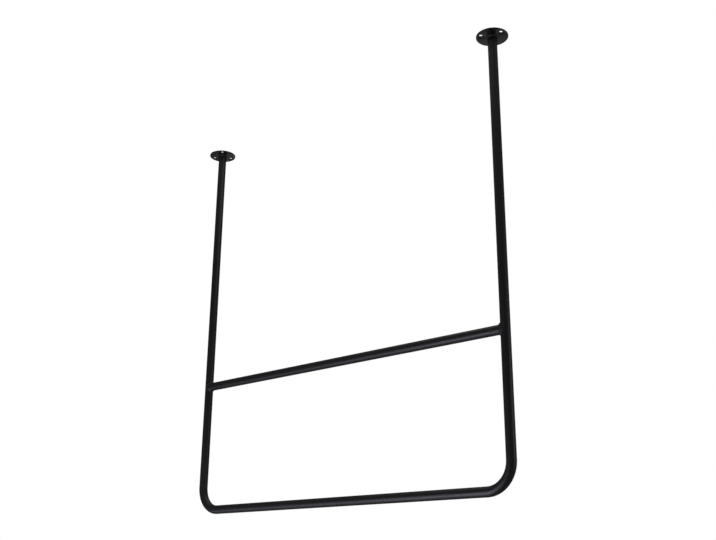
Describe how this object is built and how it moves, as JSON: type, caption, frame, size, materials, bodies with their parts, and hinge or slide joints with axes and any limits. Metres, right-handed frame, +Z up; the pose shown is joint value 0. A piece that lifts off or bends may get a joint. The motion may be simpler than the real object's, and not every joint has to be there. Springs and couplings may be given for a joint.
{
  "type": "ceiling clothes rail",
  "caption": "Ceiling-hung clothes rail of bent round steel tube, with a welded cross rail above the bottom rail and a round screw flange at each end.",
  "frame": {"origin": "middle of the left flange's ceiling face", "axes": "+X from the left flange to the right flange, +Z up into the ceiling, +Y across the flat frame"},
  "size_m": [1.045, 0.075, 1.045],
  "materials": {
    "black_powder_coat": "satin black powder coat with a fine, even texture, over welded steel"
  },
  "bodies": {
    "root": {"hanger_tube": "black_powder_coat", "cross_rail": "black_powder_coat", "left_rail_weld": "black_powder_coat", "right_rail_weld": "black_powder_coat", "left_flange": "black_powder_coat", "right_flange": "black_powder_coat", "left_flange_weld": "black_powder_coat", "right_flange_weld": "black_powder_coat"}
  },
  "joints": []
}
